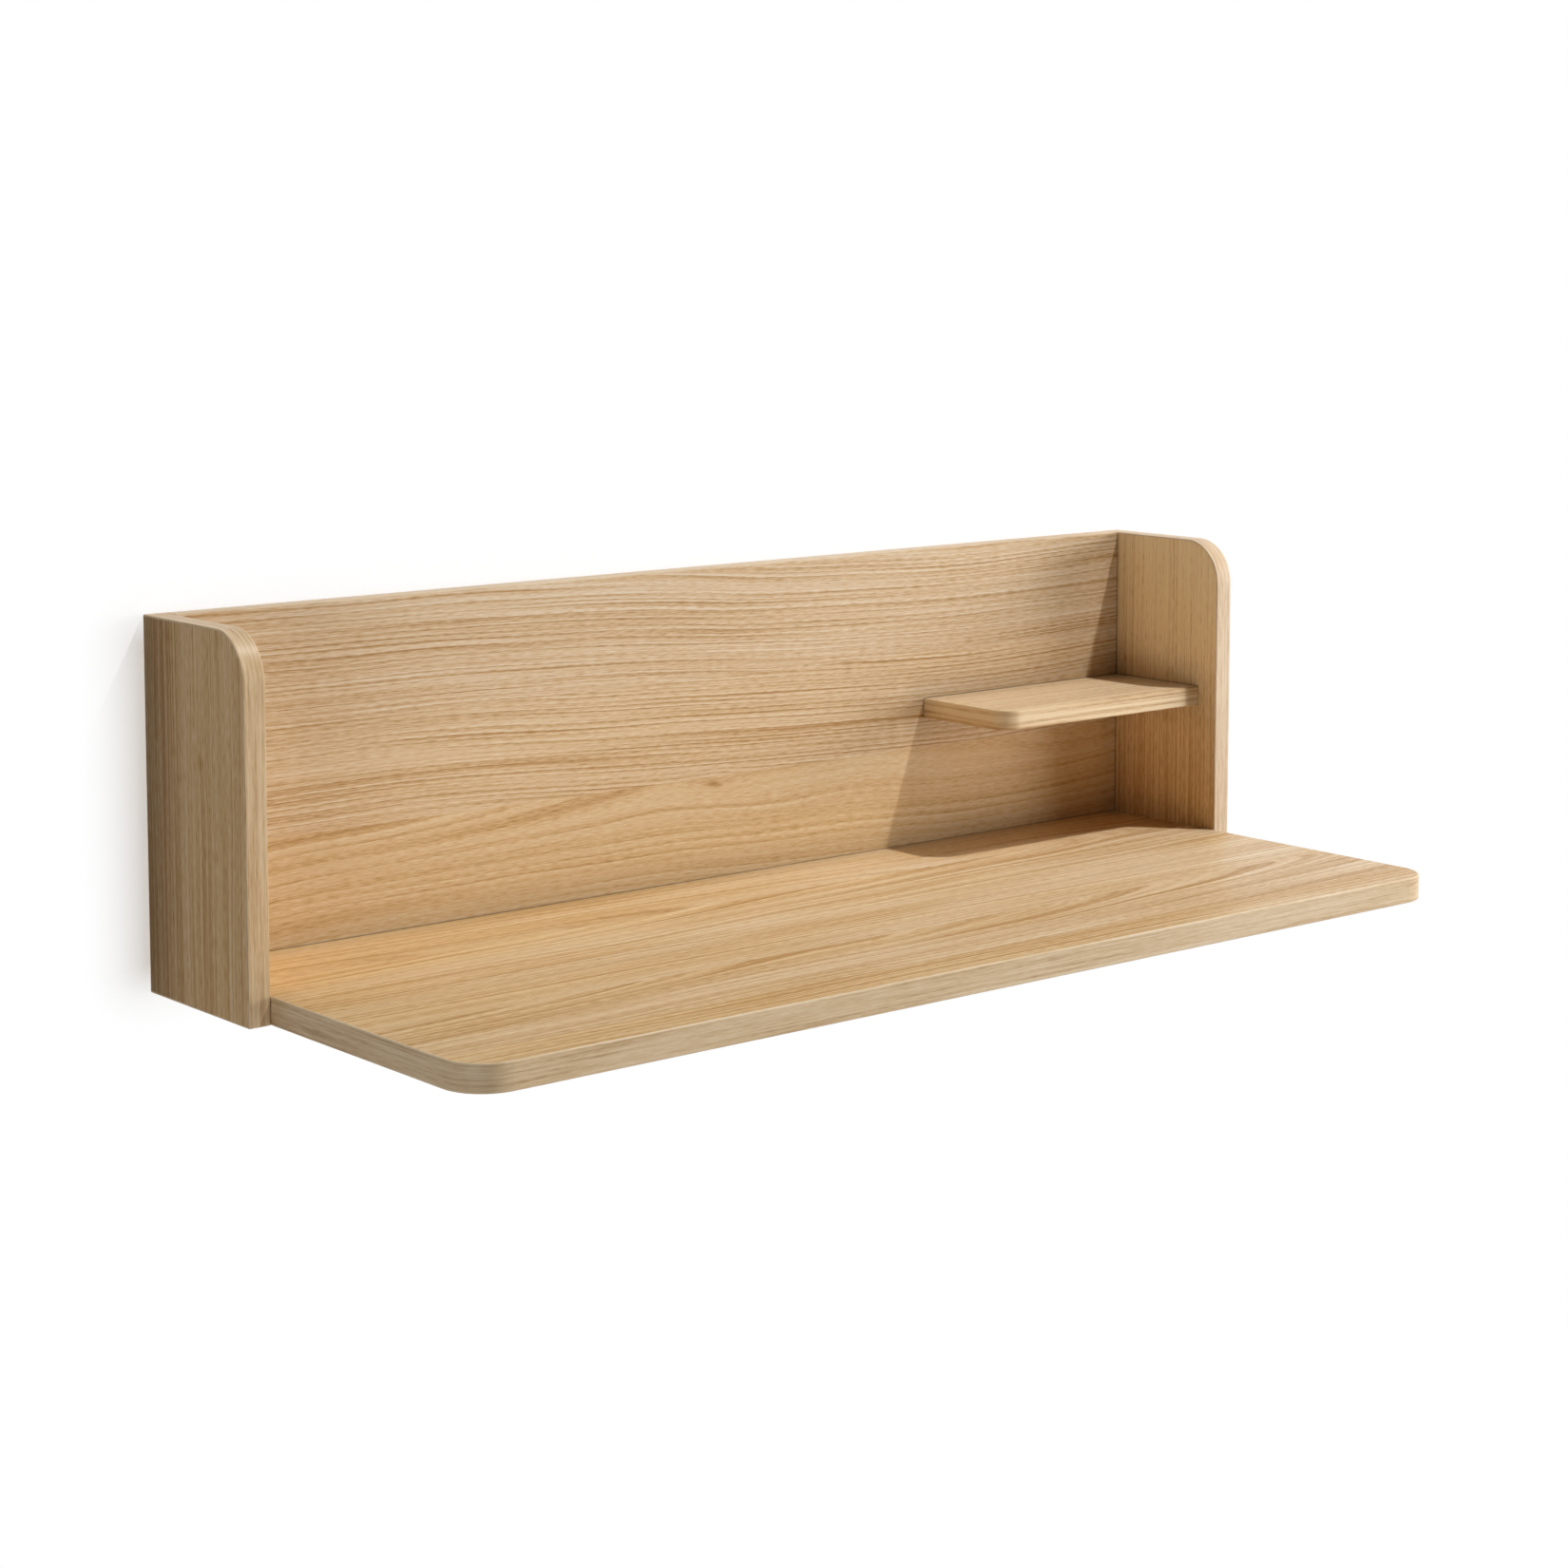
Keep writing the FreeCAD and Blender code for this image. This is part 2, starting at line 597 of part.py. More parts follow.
def add_cleats():
    """The wall cleat, and the panel cleat screwed to the floor of the pocket."""
    nodes["wall_cleat"] = [wall_cleat()]
    cuts["back_panel"].append(pocket())
    flange_rear = -POCKET_DEPTH + CLEAT_WALL
    screw_z = (PANEL_WEB_Z + CLEAT_WALL + PANEL_TOP_Z) / 2
    end = CLEAT_LENGTH / 2 - CLEAT_SCREW_INSET
    starts = [V(x, flange_rear, screw_z) for x in evenly(CLEAT_SCREW_COUNT, -end, end)]
    nodes["panel_cleat_screws"] = [screw(CLEAT_SCREW, s, FRONT, CLEAT_WALL) for s in starts]
    holes = [screw_cut(CLEAT_SCREW, s, FRONT, CLEAT_WALL) for s in starts]
    nodes["panel_cleat"] = [panel_cleat().cut(holes)]
    cuts["back_panel"] += holes


for hand_name in HANDS:
    add_desktop_fittings(hand_name)
    add_back_fittings(hand_name)
add_shelf_fittings()
add_desktop_screws()
add_cleats()

layers = {
    "left_side": side_layers(side_board(LEFT)),
    "right_side": side_layers(side_board(RIGHT)),
    "back_panel": back_layers(back_board()),
    "desktop": level_layers(desk_board()),
    "shelf": level_layers(shelf_board()),
}
for board_name, board_layers in layers.items():
    for layer_name, shape in board_layers.items():
        nodes[f"{board_name}_{layer_name}"] = shape.cut(cuts[board_name]).Solids

os.makedirs("parts", exist_ok=True)
for node_name, solids in sorted(nodes.items()):
    whole = Part.makeCompound(solids) if len(solids) > 1 else solids[0]
    whole.exportStep(f"parts/{node_name}.step")
    volume = sum(s.Volume for s in solids)
    print(f"{node_name}: {len(solids)} solids, {volume:.1f} mm3, valid {all(s.isValid() for s in solids)}")
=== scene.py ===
"""A floating wall desk in light oak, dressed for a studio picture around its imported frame."""

import math
from dataclasses import dataclass, fields
from itertools import product
from types import SimpleNamespace
from typing import NamedTuple

import bpy
from mathutils import Euler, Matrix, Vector


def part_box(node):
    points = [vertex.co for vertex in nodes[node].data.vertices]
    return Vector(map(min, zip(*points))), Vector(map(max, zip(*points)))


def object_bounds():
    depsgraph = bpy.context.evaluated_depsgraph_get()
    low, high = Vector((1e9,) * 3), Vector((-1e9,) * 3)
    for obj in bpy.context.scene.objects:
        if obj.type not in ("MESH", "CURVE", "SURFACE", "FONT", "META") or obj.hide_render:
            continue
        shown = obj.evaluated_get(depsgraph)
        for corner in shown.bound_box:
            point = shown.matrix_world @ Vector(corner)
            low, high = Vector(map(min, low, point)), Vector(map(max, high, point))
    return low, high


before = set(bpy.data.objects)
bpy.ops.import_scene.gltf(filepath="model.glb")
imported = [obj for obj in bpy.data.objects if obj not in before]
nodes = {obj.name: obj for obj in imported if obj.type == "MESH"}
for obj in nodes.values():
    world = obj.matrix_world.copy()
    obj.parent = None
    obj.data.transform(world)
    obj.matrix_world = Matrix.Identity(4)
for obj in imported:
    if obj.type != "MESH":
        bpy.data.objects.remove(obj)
cad_low, cad_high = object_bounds()
scene = bpy.context.scene

# Camera, in metres and degrees: the photograph looks from the left, a little above the desk
CAMERA_PLACE = (-1.72949, -2.21134, 0.39528)
CAMERA_TURN = 39.741
CAMERA_TILT = 5.840
CAMERA_LENS = 73.131
CAMERA_SENSOR = 36.0
CAMERA_SHIFT = -0.15

# Stage, in metres: a white wall just behind the desk, open where the desk covers it, and a floor
WALL_GAP = 0.0002
WALL_INSET = 0.0008
STAGE_HALF = 6.0
FLOOR_BELOW = 0.72

# A shadow ray that starts this close to the stage passes through it, in metres
TOUCH_REACH = 0.0006

# The wall's shadow fades from a box that ends this far inside the desk at its top and bottom, in metres
WALL_SHADE_TRIM = 0.025

# Stage white: what the camera sees, what lights the desk, and the glow that lifts the shadows on it
STAGE_WHITE = 0.9
STAGE_BOUNCE = 0.45
WALL_LIFT = 0.38
FLOOR_LIFT = 0.54
# The lift's warm tint is painted bounce light from the oak
LIFT_COLOUR = (1.0, 0.95, 0.90)

# Oak colours, each from the latewood to the pale pore lines
OAK_STOPS = (0.0, 0.5, 1.0)
OAK_FACE = ((0.50, 0.275, 0.10), (0.76, 0.535, 0.295), (0.88, 0.72, 0.50))
# Painted bounce light: warmer and lighter oak for a face lit by light bounced off the other boards
OAK_PAINTED_BOUNCE = ((0.64, 0.40, 0.20), (0.92, 0.70, 0.47), (0.98, 0.81, 0.58))
# Painted shade: face oak with less green, for a face in shade
OAK_PAINTED_SHADE = ((0.50, 0.267, 0.10), (0.76, 0.519, 0.284), (0.88, 0.698, 0.482))
OAK_EDGE = ((0.49, 0.295, 0.145), (0.735, 0.535, 0.325), (0.86, 0.695, 0.50))

# Tints of oak for a hue of 0 and of 1, and the usual hue
OAK_GOLDEN = (1.0, 0.955, 0.79)
OAK_COOL = (0.995, 1.03, 1.14)
USUAL_HUE = 0.59

# Varnish: its gloss on faces and bands, and its roughness and relief, which follow the pores
FACE_GLOSS = 0.09
BAND_GLOSS = 0.3
OAK_ROUGHNESS = 0.50
PORE_POLISH = -0.14
PORE_RELIEF = 0.10
PORE_DEPTH = 0.0004

# Lightness of oak, from 0 to 1, before its grain is added
FACE_MIDDLE = 0.535
BAND_MIDDLE = 0.5

# Growth rings, in metres, and their weight in the figure
USUAL_RING = 0.0058
WIDE_RING = 0.0085
RING_CONTRAST = 0.33
LATE_WEIGHT = -1.35

# The level of a leaf that drifts to the board's end, and the length of the bend at a level, in metres
NO_LEVEL = 9.0
LEVEL_BLEND = 0.15

# Steps between noises that must differ
LEAF_SEED_STEP = 7.3
DEPTH_SEED = 40.0
UNEVEN_SEED = 9.0

# The dark middle of a knot, as shares of the knot and as a change of lightness
KNOT_CORE_LENGTH = 0.22
KNOT_CORE_WIDTH = 0.25
KNOT_SHADE = -0.35

# A painted highlight along the upper edge: where it starts and ends below the top, in metres, and how much
# lighter it gets
ARRIS_START = 0.0014
ARRIS_END = 0.0006
ARRIS_HIGHLIGHT = 0.3

# Painted shade on an outer face: what is left of its colour at the wall
PAINTED_OUTER_SHADE = 0.5


class Range(NamedTuple):
    """A change from a span of one value, low to high, to a span of another, start to end."""

    low: float
    high: float
    start: float = 0.0
    end: float = 1.0


class Pulse(NamedTuple):
    """A rise from 0 to 1 and a later fall back to 0."""

    rise: float
    full: float
    fall: float
    gone: float


@dataclass
class Lamp:
    """A round lamp, in metres. A level of 1 shows a white card that faces the lamp as white."""

    place: tuple
    size: float
    level: float


@dataclass
class Streaks:
    """Noise drawn out along the grain: its features per metre each way, and how far it swings a value."""

    along: float
    across: float
    swing: float = 1.0
    detail: float = 2.0
    roughness: float = 0.5


@dataclass
class Leaf:
    """One leaf of veneer: how its log was cut, and where it starts across the grain, in metres.

    The log's heart runs at the pith, and it gets deeper along the grain by the drift, up to the level.
    The first leaf starts at the board's edge. A higher tone is lighter, the figure and the rings weigh its
    grain and its ring lines, and cool is its hue.
    """

    pith: float
    depth: float
    start: float | None = None
    drift: float = 0.0
    level: float = NO_LEVEL
    tone: float = 0.0
    ring: float = USUAL_RING
    figure: float = 1.0
    rings: float = 1.0
    cool: float = USUAL_HUE


@dataclass
class Sweep:
    """A slow wave in the grain: its height, its length and where along the board it peaks, in metres."""

    height: float
    length: float
    start: float


@dataclass
class Knot:
    """A pin knot: its place and size along and across the grain, and its pull on the rings, in metres."""

    u: float
    v: float
    length: float = 0.030
    width: float = 0.013
    pull: float = -0.0032

    def core(self):
        return Knot(self.u, self.v, self.length * KNOT_CORE_LENGTH, self.width * KNOT_CORE_WIDTH)


@dataclass
class Veneer:
    """The wood of one face: its leaves, the axes along and across its grain, and the boards that it meets.

    For each metre along the grain it gets cooler by the cooling and lighter by the paling, which is painted
    light that grows up the face. The mottle is the strength of its broad patches.
    """

    leaves: list
    along: str
    across: str
    seed: float
    neighbours: tuple = ()
    colours: tuple = OAK_FACE
    sweep: Sweep | None = None
    knots: tuple = ()
    gloss: float = FACE_GLOSS
    cooling: float = 0.0
    painted_light_rise: float = 0.0
    mottle: float = 0.0
    # Painted shade: what is left of the face's colour at the wall
    wall_shade: float = 1.0


@dataclass
class Strip:
    """The oak of a board's edge bands: the edges that they are on, the axis across them, and their look."""

    edges: tuple
    across: str
    seed: float
    tone: float
    cool: float = USUAL_HUE
    bold: float = 0.3
    neighbours: tuple = ()
    # A painted highlight along the top edge
    worn_top: bool = False


@dataclass
class Metal:
    """A bare metal: its colours, its roughness, its marks per metre along X, Y and Z, and their relief."""

    dark: tuple
    light: tuple
    roughness: float
    marks: tuple
    relief: float


# Light: the point that the lamps face, the lamps, and the world's faint fill
LIGHT_TARGET = Vector((0.0, -0.2, -0.05))
LAMPS = {
    "key_lamp": Lamp(place=(1.88, -1.75, 4.59), size=0.24, level=0.62),
    "front_softbox": Lamp(place=(2.6, -2.6, 0.0), size=1.5, level=0.275),
    "side_softbox": Lamp(place=(3.4, -1.4, 0.7), size=1.5, level=0.38),
    "low_softbox": Lamp(place=(0.0, -2.4, -0.75), size=1.2, level=0.05),
    "left_softbox": Lamp(place=(-2.6, -1.6, -0.6), size=1.2, level=0.195),
    "rear_softbox": Lamp(place=(0.9, 2.4, 1.2), size=1.5, level=0.42),
}
WORLD_FILL = 0.004

# How far from the desk the stage's shadows fade to plain white, in metres
WALL_FADE = Range(low=0.0, high=0.062, start=1.0, end=0.0)
FLOOR_FADE = Range(low=0.8, high=1.8, start=1.0, end=0.0)

# Shade painted near a neighbouring board, by the distance, and near the wall, by Y, in metres: a dark joint
# line that is partly the gap and partly painted contact shadow, a wider painted shade in the corners, and
# painted shade towards the wall
JOINT_AND_CONTACT_SHADOW = Range(low=0.0003, high=0.0020, start=0.35)
PAINTED_CORNER_SHADE = Range(low=0.0003, high=0.035, start=0.84)
PAINTED_WALL_SHADE_SPAN = (-0.075, 0.02)

# Noise in the course of the rings, in metres, and in their spacing, in rings
HEART_WANDER = Streaks(along=2.2, across=1.0, swing=0.014, detail=1.0)
DEPTH_WANDER = Streaks(along=3.4, across=1.0, swing=0.012, detail=1.0)
RING_RIPPLE = Streaks(along=3.5, across=26.0, swing=0.0045, detail=1.0)
RING_WIGGLE = Streaks(along=30.0, across=60.0, swing=0.0005, detail=1.0)
RING_UNEVEN = Streaks(along=60.0, across=1.0, swing=2.4, detail=1.0)

# One ring from its inner edge at 0 to its outer edge at 1: pale pores first, and dark latewood last
PALE_PART = Pulse(rise=0.0, full=0.05, fall=0.10, gone=0.34)
LATE_PART = Pulse(rise=0.45, full=0.90, fall=0.95, gone=1.0)

# Noise in the grain of a face: how bold the rings are, streaks, broken pores, and slow changes
RING_BOLDNESS = Streaks(along=2.0, across=110.0)
BOLDNESS = Range(low=0.30, high=0.68, start=0.25, end=1.2)
GRAIN_STREAKS = (
    Streaks(along=1.3, across=45.0, swing=0.42),
    Streaks(along=2.0, across=230.0, swing=0.55),
    Streaks(along=4.0, across=700.0, swing=1.1, roughness=0.6),
)
PORES = Streaks(along=90.0, across=1100.0, swing=0.8, detail=1.0)
PORE_BREAKS = Range(low=0.25, high=0.60, start=0.25, end=1.0)
HUE_DRIFT = Streaks(along=1.1, across=9.0, swing=0.4, detail=1.0)
PATCHES = Streaks(along=2.6, across=22.0)

# Noise in the grain of a band
BAND_BROAD = Streaks(along=5.0, across=45.0, swing=0.6, detail=1.0, roughness=0.6)
BAND_LINES = Streaks(along=2.0, across=200.0, roughness=0.6)
BAND_FIBRES = Streaks(along=7.0, across=480.0, swing=1.5, detail=3.0, roughness=0.6)
BAND_PORES = Streaks(along=70.0, across=1100.0, swing=1.0, roughness=0.6)
BAND_HUE = Streaks(along=1.0, across=15.0, swing=0.35, detail=1.0, roughness=0.6)

# Boards that a face or a band can meet; near them it gets a dark joint line and painted shade
SIDES = ("left_side_core", "right_side_core")
INNER_NEIGHBOURS = ("back_panel_core", "desktop_core")
DESK_NEIGHBOURS = (*SIDES, "back_panel_core")
SHELF_NEIGHBOURS = ("right_side_core", "back_panel_core")

# Leaves that two faces share
SIDE_LEAVES = [
    Leaf(pith=-0.30, depth=0.03, tone=0.03, figure=1.3, rings=0.35, cool=0.48),
    Leaf(pith=0.12, depth=0.03, start=-0.054, tone=-0.03, figure=1.5, rings=0.35, cool=0.42),
]
SHELF_LEAVES = [
    Leaf(pith=-0.22, depth=0.03, tone=0.09, figure=0.7, cool=0.84),
    Leaf(pith=0.05, depth=0.03, start=-0.075, tone=0.09, figure=0.7, cool=0.76),
]

# The wood of each face, by the start of its node's name
VENEERS = {
    "back_panel_front": Veneer(
        leaves=[
            Leaf(
                pith=-0.077, depth=0.075, drift=0.073, level=-0.02,
                tone=0.08, ring=WIDE_RING, figure=0.52, cool=0.54,
            ),
            Leaf(pith=-0.260, depth=0.03, start=-0.0947, tone=0.03, ring=0.0046, figure=0.9, cool=0.80),
            Leaf(pith=-0.180, depth=0.03, start=-0.0057, tone=0.01, ring=0.0052, rings=0.75, cool=0.97),
        ],
        along="X", across="Z", seed=1.0,
        neighbours=(*SIDES, "desktop_core", "shelf_core"),
        sweep=Sweep(height=-0.014, length=1.39, start=-0.37),
        knots=(Knot(u=0.012, v=-0.101),),
    ),
    "back_panel_rear": Veneer(
        leaves=[
            Leaf(pith=-0.3, depth=0.03),
            Leaf(pith=-0.06, depth=0.02, start=-0.10, drift=0.02),
            Leaf(pith=-0.2, depth=0.03, start=-0.01),
        ],
        along="X", across="Z", seed=31.0, neighbours=SIDES,
    ),
    "desktop_top": Veneer(
        leaves=[
            Leaf(pith=-0.20, depth=0.03, tone=-0.12, figure=0.9, cool=0.50),
            Leaf(
                pith=-0.287, depth=0.045, start=-0.382, drift=0.05,
                tone=-0.10, ring=WIDE_RING, figure=0.85, rings=0.75, cool=0.64,
            ),
            Leaf(pith=-0.05, depth=0.04, start=-0.290, figure=0.85, cool=0.56),
            Leaf(
                pith=-0.100, depth=0.045, start=-0.199, drift=0.04,
                tone=0.03, ring=WIDE_RING, figure=0.85, rings=0.75, cool=0.52,
            ),
            Leaf(
                pith=-0.103, depth=0.040, start=-0.108, drift=0.03,
                tone=-0.05, ring=WIDE_RING, figure=0.65, rings=0.75, cool=0.52,
            ),
        ],
        along="X", across="Y", seed=53.0, neighbours=DESK_NEIGHBOURS, gloss=0.16, cooling=0.25, mottle=0.55,
    ),
    "desktop_bottom": Veneer(
        leaves=[
            Leaf(pith=-0.5, depth=0.03),
            Leaf(pith=-0.31, depth=0.02, start=-0.30, drift=0.02),
            Leaf(pith=0.1, depth=0.03, start=-0.21),
            Leaf(pith=-0.2, depth=0.03, start=-0.11),
        ],
        along="X", across="Y", seed=71.0, neighbours=DESK_NEIGHBOURS,
    ),
    "shelf_top": Veneer(SHELF_LEAVES, along="X", across="Y", seed=83.0, neighbours=SHELF_NEIGHBOURS),
    "shelf_bottom": Veneer(SHELF_LEAVES, along="X", across="Y", seed=91.0, neighbours=SHELF_NEIGHBOURS),
    # Painted shade: shaded oak colours with a more golden hue, darker towards the wall; the rear leaf's
    # darker tone is partly its own wood and partly painted shade near the wall
    "left_side_outer": Veneer(
        leaves=[
            Leaf(pith=-0.30, depth=0.03, tone=-0.075, figure=1.05, rings=0.35, cool=0.40),
            Leaf(pith=0.12, depth=0.03, start=-0.054, tone=-0.225, figure=1.3, rings=0.35, cool=0.30),
        ],
        along="Z", across="Y", seed=101.0, colours=OAK_PAINTED_SHADE, wall_shade=PAINTED_OUTER_SHADE,
        knots=(Knot(u=-0.0127, v=-0.085, width=0.014, pull=-0.002),),
    ),
    "left_side_inner": Veneer(SIDE_LEAVES, along="Z", across="Y", seed=113.0, neighbours=INNER_NEIGHBOURS),
    # Painted shade towards the wall, as on the left outer face
    "right_side_outer": Veneer(SIDE_LEAVES, along="Z", across="Y", seed=127.0, wall_shade=PAINTED_OUTER_SHADE),
    # Painted bounce light: warmer, lighter colours and a golden hue, lighter towards the top
    "right_side_inner": Veneer(
        leaves=[
            Leaf(pith=-0.30, depth=0.03, tone=0.01, figure=1.1, rings=0.35, cool=0.1),
            Leaf(pith=0.12, depth=0.03, start=-0.054, tone=-0.03, figure=1.1, rings=0.35, cool=0.1),
        ],
        along="Z", across="Y", seed=139.0, colours=OAK_PAINTED_BOUNCE, painted_light_rise=1.7,
        neighbours=(*INNER_NEIGHBOURS, "shelf_core"),
    ),
}

# The edge bands of each board
SIDE_EDGES = ("front", "bottom", "rear")
STRIPS = {
    "left_side": Strip(SIDE_EDGES, across="X", seed=11.0, tone=-0.03, cool=0.36, bold=0.6),
    "right_side": Strip(SIDE_EDGES, across="X", seed=23.0, tone=0.03, cool=0.80, bold=0.6),
    "back_panel": Strip(("top", "bottom"), across="Y", seed=37.0, tone=0.08),
    "desktop": Strip(
        ("edge",), across="Z", seed=41.0, tone=0.08, cool=0.40, bold=0.8, neighbours=SIDES, worn_top=True
    ),
    "shelf": Strip(
        ("edge",), across="Z", seed=47.0, tone=0.02, cool=0.2, bold=4.5, neighbours=SHELF_NEIGHBOURS
    ),
}

# Particle board in the cores
CHIPS_PER_METRE = 380.0
CHIP_WARP = 2.5
WARPS_PER_METRE = 500.0
WARP_ROUGHNESS = 0.6
CHIP_TONE = 0.6
WARP_TONE = 0.9
TONE_START = -0.25
CHIP_COLOURS = [(0.0, (0.33, 0.20, 0.10)), (0.5, (0.58, 0.40, 0.22)), (1.0, (0.72, 0.55, 0.34))]
CHIP_ROUGHNESS = Range(low=0.0, high=0.6, start=0.95, end=0.8)
CHIP_RELIEF = 0.4
CHIP_DEPTH = 0.0008

# Beech dowels, which lie along X
FLECKS_PER_METRE = (90.0, 1400.0, 1400.0)
BEECH_COLOURS = [(0.3, (0.42, 0.25, 0.13)), (0.45, (0.66, 0.46, 0.29)), (0.8, (0.74, 0.55, 0.37))]
BEECH_ROUGHNESS = Range(low=0.2, high=0.8, start=0.62, end=0.5)

# Metals: the rails' marks run along X, the way the rails were extruded
ZINC = Metal(
    dark=(0.38, 0.39, 0.40),
    light=(0.56, 0.57, 0.58),
    roughness=0.42,
    marks=(900.0, 900.0, 900.0),
    relief=0.12,
)
STEEL = Metal(
    dark=(0.34, 0.34, 0.335),
    light=(0.52, 0.52, 0.51),
    roughness=0.32,
    marks=(700.0, 700.0, 700.0),
    relief=0.05,
)
ALUMINIUM = Metal(
    dark=(0.42, 0.43, 0.44),
    light=(0.60, 0.61, 0.62),
    roughness=0.38,
    marks=(3.0, 2200.0, 2200.0),
    relief=0.12,
)
MARK_DETAIL = 3.0
MARK_ROUGHNESS = 0.65
METAL_STOPS = (0.25, 0.75)
METAL_SPAN = (0.2, 0.8)
METAL_DULLER = 0.1
METAL_BRIGHTER = -0.06
METAL_DEPTH = 0.0002


class Graph:
    """The node tree of a material or a world, built by short calls that return output sockets."""

    def __init__(self, owner):
        owner.use_nodes = True
        self.owner = owner
        self.tree = owner.node_tree
        self.tree.nodes.clear()

    def node(self, kind, **settings):
        made = self.tree.nodes.new(kind)
        for key, value in settings.items():
            setattr(made, key, value)
        return made

    def feed(self, socket, value):
        if isinstance(value, bpy.types.NodeSocket):
            self.tree.links.new(value, socket)
        else:
            socket.default_value = value

    def put(self, kind, *values, output=0, **settings):
        """Adds a node, feeds its inputs in order, and returns one of its outputs."""
        made = self.node(kind, **settings)
        for socket, value in zip(made.inputs, values):
            self.feed(socket, value)
        return made.outputs[output]

    def math(self, operation, *values, clamp=False):
        return self.put("ShaderNodeMath", *values, operation=operation, use_clamp=clamp)

    def chain(self, operation, first, *others):
        """The values joined one after another by the operation."""
        total = first
        for value in others:
            total = self.math(operation, total, value)
        return total

    def add(self, *values):
        return self.chain("ADD", *values)

    def times(self, *values):
        return self.chain("MULTIPLY", *values)

    def scaled(self, value, factor, offset=0.0):
        return self.math("MULTIPLY_ADD", value, factor, offset)

    def swing(self, value, amount):
        """A noise value of 0 to 1 as a change of plus or minus half the amount."""
        return self.scaled(value, amount, -amount / 2)

    def line(self, value, low, high, start=0.0, end=1.0):
        return self.put("ShaderNodeMapRange", value, low, high, start, end, interpolation_type="LINEAR")

    def smooth(self, value, low, high, start=0.0, end=1.0):
        return self.put("ShaderNodeMapRange", value, low, high, start, end, interpolation_type="SMOOTHSTEP")

    def pulse(self, value, part):
        return self.times(self.smooth(value, part.rise, part.full), self.smooth(value, part.gone, part.fall))

    def vector(self, x, y, z):
        return self.put("ShaderNodeCombineXYZ", x, y, z)

    def vector_math(self, operation, *values):
        output = "Value" if operation == "LENGTH" else "Vector"
        return self.put("ShaderNodeVectorMath", *values, output=output, operation=operation)

    def split(self, vector):
        made = self.node("ShaderNodeSeparateXYZ")
        self.feed(made.inputs[0], vector)
        return dict(zip("XYZ", made.outputs))

    def point(self):
        """The point on the piece, in metres in the desk's own frame."""
        return self.node("ShaderNodeTexCoord").outputs["Object"]

    def stretched(self, scales):
        """The point on the piece, with its X, Y and Z multiplied by the scales."""
        return self.vector_math("MULTIPLY", self.point(), scales)

    def noise(self, vector, detail=2.0, roughness=0.5, dimensions="3D"):
        made = self.node("ShaderNodeTexNoise", noise_dimensions=dimensions)
        for key, value in {"Vector": vector, "Scale": 1.0, "Detail": detail, "Roughness": roughness}.items():
            self.feed(made.inputs[key], value)
        return made.outputs["Fac"]

    def streaks(self, u, v, layer, seed=0.0):
        """The layer's noise, from 0 to 1, at a place of u along and v across the grain, in metres."""
        place = self.vector(self.scaled(u, layer.along, seed), self.scaled(v, layer.across), 0.0)
        return self.noise(place, layer.detail, layer.roughness, "2D")

    def swung(self, u, v, layer, seed=0.0):
        return self.swing(self.streaks(u, v, layer, seed), layer.swing)

    def blob(self, u, v, spot):
        """1 at the spot's middle, falling softly to 0 round it."""
        across = self.scaled(u, 1 / spot.length, -spot.u / spot.length)
        down = self.scaled(v, 1 / spot.width, -spot.v / spot.width)
        square = self.scaled(across, across, self.math("MULTIPLY", down, down))
        return self.math("EXPONENT", self.math("MULTIPLY", square, -1.0))

    def cells(self, vector):
        made = self.node("ShaderNodeTexVoronoi")
        self.feed(made.inputs["Vector"], vector)
        self.feed(made.inputs["Scale"], 1.0)
        return made.outputs["Distance"], made.outputs["Color"]

    def ramp(self, value, stops):
        made = self.node("ShaderNodeValToRGB")
        elements = made.color_ramp.elements
        while len(elements) < len(stops):
            elements.new(0.5)
        for element, (place, colour) in zip(elements, stops):
            element.position = place
            element.color = (*colour, 1.0)
        self.feed(made.inputs[0], value)
        return made.outputs[0]

    def mix(self, factor, first, second, blend="MIX"):
        made = self.node("ShaderNodeMix", data_type="RGBA", blend_type=blend)
        self.feed(made.inputs["Factor"], factor)
        inputs = [socket for socket in made.inputs if socket.type == "RGBA"]
        for socket, colour in zip(inputs, (first, second)):
            self.feed(socket, (*colour, 1.0) if isinstance(colour, tuple) else colour)
        return next(socket for socket in made.outputs if socket.type == "RGBA")

    def bump(self, height, strength, distance):
        made = self.node("ShaderNodeBump")
        for key, value in {"Strength": strength, "Distance": distance, "Height": height}.items():
            self.feed(made.inputs[key], value)
        return made.outputs[0]

    def surface(self, **inputs):
        shader = self.node("ShaderNodeBsdfPrincipled")
        for key, value in inputs.items():
            self.feed(shader.inputs[key.replace("_", " ")], value)
        return self.finish(shader.outputs[0])

    def finish(self, shader, output="ShaderNodeOutputMaterial"):
        self.feed(self.node(output).inputs["Surface"], shader)
        return self.owner


def new_material(name):
    return Graph(bpy.data.materials.new(name))


def stepped(graph, masks, values):
    """The value of the leaf that the point is on: the first value, changed at each mask."""
    total = values[0]
    for mask, before, after in zip(masks, values, values[1:]):
        if after != before:
            total = graph.scaled(mask, after - before, total)
    return total


def beyond(graph, point, low, high):
    """How far a point is outside a box."""
    under = graph.vector_math("SUBTRACT", tuple(low), point)
    over = graph.vector_math("SUBTRACT", point, tuple(high))
    outside = graph.vector_math("MAXIMUM", graph.vector_math("MAXIMUM", under, over), (0.0, 0.0, 0.0))
    return graph.vector_math("LENGTH", outside)


